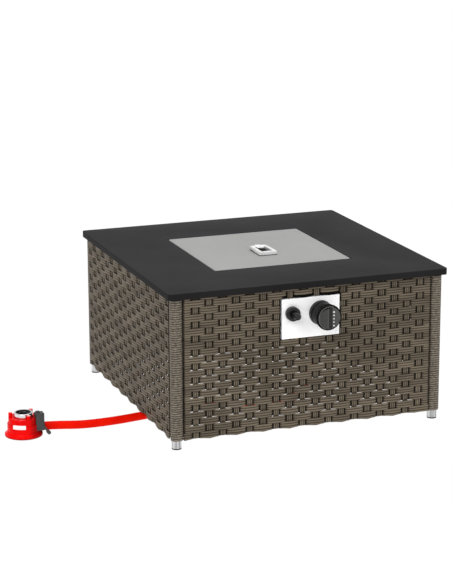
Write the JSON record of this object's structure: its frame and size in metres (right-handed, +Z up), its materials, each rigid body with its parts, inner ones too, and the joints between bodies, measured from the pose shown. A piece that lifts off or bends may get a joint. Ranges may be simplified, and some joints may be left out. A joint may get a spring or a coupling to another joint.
{
  "type": "tabletop gas fire pit",
  "caption": "Low square gas fire pit table with a woven cord body, dark steel top, lift-out lid with folding handle, side control plate, and a hose to a clip-on gas regulator.",
  "frame": {"origin": "centre of the table's square plan, on the floor under the feet", "axes": "+X to the right along the control side, +Y away from the control side, +Z up"},
  "size_m": [1.0277, 0.743, 0.3865],
  "materials": {
    "black_steel": "matt powder coat",
    "lid_grey": "satin",
    "bright_steel": "polished",
    "black_pad": "matt",
    "woven_cord": "satin, grey-brown",
    "black_plastic": "satin",
    "white_plate": "satin",
    "brass": "machined",
    "plain_steel": "brushed",
    "ceramic": "glazed",
    "hose_rubber": "satin, orange-red",
    "red_metal": "gloss",
    "dark_plastic": "satin"
  },
  "bodies": {
    "table": {"air_mixer": "plain_steel", "bottom_rails": "black_steel", "burner_locknut": "plain_steel", "burner_pan": "black_steel", "burner_ring": "plain_steel", "control_panel": "white_plate", "corner_post_back_left": "black_steel", "corner_post_back_right": "black_steel", "corner_post_front_left": "black_steel", "corner_post_front_right": "black_steel", "gas_hose": "hose_rubber", "gas_jet": "brass", "gas_valve_body": "brass", "heat_shield": "black_steel", "hose_union": "brass", "igniter_bezel": "black_plastic", "igniter_body": "black_plastic", "igniter_wire": "black_plastic", "knob_bezel": "black_plastic", "panel_bracket": "black_steel", "panel_screws": "bright_steel", "panel_stiles": "black_steel", "post_plugs": "black_plastic", "post_wraps": "woven_cord", "regulator_body": "red_metal", "regulator_cover": "red_metal", "regulator_outlet": "brass", "regulator_socket": "brass", "regulator_switch": "dark_plastic", "spark_electrode": "ceramic", "supply_pipe": "brass", "table_top": "black_steel", "thermocouple": "plain_steel", "top_bearers": "black_steel", "top_rails": "black_steel", "wicker_back": "woven_cord", "wicker_front": "woven_cord", "wicker_left": "woven_cord", "wicker_right": "woven_cord"},
    "lid": {"lid": "lid_grey", "lid_handle_bracket": "bright_steel", "lid_handle_rivets": "bright_steel", "lid_handle_pad": "black_pad"},
    "lid_handle": {"lid_handle_ring": "bright_steel"},
    "valve_plug": {"valve_plug": "brass"},
    "knob": {"control_knob": "black_plastic", "valve_stem": "plain_steel"},
    "igniter_button": {"igniter_button": "black_plastic"},
    "lock_ring": {"regulator_lock_ring": "bright_steel"},
    "lever": {"regulator_lever": "dark_plastic"},
    "foot_front_left": {"foot_front_left": "bright_steel", "foot_pad_front_left": "black_pad"},
    "foot_front_right": {"foot_front_right": "bright_steel", "foot_pad_front_right": "black_pad"},
    "foot_back_left": {"foot_back_left": "bright_steel", "foot_pad_back_left": "black_pad"},
    "foot_back_right": {"foot_back_right": "bright_steel", "foot_pad_back_right": "black_pad"}
  },
  "joints": [
    {"name": "lid_lift", "type": "slide", "parent": "table", "child": "lid", "axis": [0, 0, 1], "range_m": [0, 0.25]},
    {"name": "lid_handle_fold", "type": "hinge", "parent": "lid", "child": "lid_handle", "pos_m": [0, -0.003, 0.381], "axis": [-1, 0, 0], "range_deg": [0, 100]},
    {"name": "knob_turn", "type": "hinge", "parent": "table", "child": "valve_plug", "pos_m": [0.026, -0.35, 0.297], "axis": [0, -1, 0], "range_deg": [0, 210]},
    {"name": "knob_push", "type": "slide", "parent": "valve_plug", "child": "knob", "axis": [0, 1, 0], "range_m": [0, 0.003], "stiffness_N_per_m": 800, "springref_m": -0.005},
    {"name": "igniter_push", "type": "slide", "parent": "table", "child": "igniter_button", "axis": [0, 1, 0], "range_m": [0, 0.006], "stiffness_N_per_m": 1000, "springref_m": -0.005},
    {"name": "lock_ring_slide", "type": "slide", "parent": "table", "child": "lock_ring", "axis": [0, 0, 1], "range_m": [0, 0.006]},
    {"name": "lever_turn", "type": "hinge", "parent": "table", "child": "lever", "pos_m": [-0.587, -0.1225, 0.019], "axis": [0, -1, 0], "range_deg": [0, 60]},
    {"name": "foot_front_left_level", "type": "slide", "parent": "table", "child": "foot_front_left", "axis": [0, 0, -1], "range_m": [0, 0.008]},
    {"name": "foot_front_right_level", "type": "slide", "parent": "table", "child": "foot_front_right", "axis": [0, 0, -1], "range_m": [0, 0.008]},
    {"name": "foot_back_left_level", "type": "slide", "parent": "table", "child": "foot_back_left", "axis": [0, 0, -1], "range_m": [0, 0.008]},
    {"name": "foot_back_right_level", "type": "slide", "parent": "table", "child": "foot_back_right", "axis": [0, 0, -1], "range_m": [0, 0.008]}
  ]
}
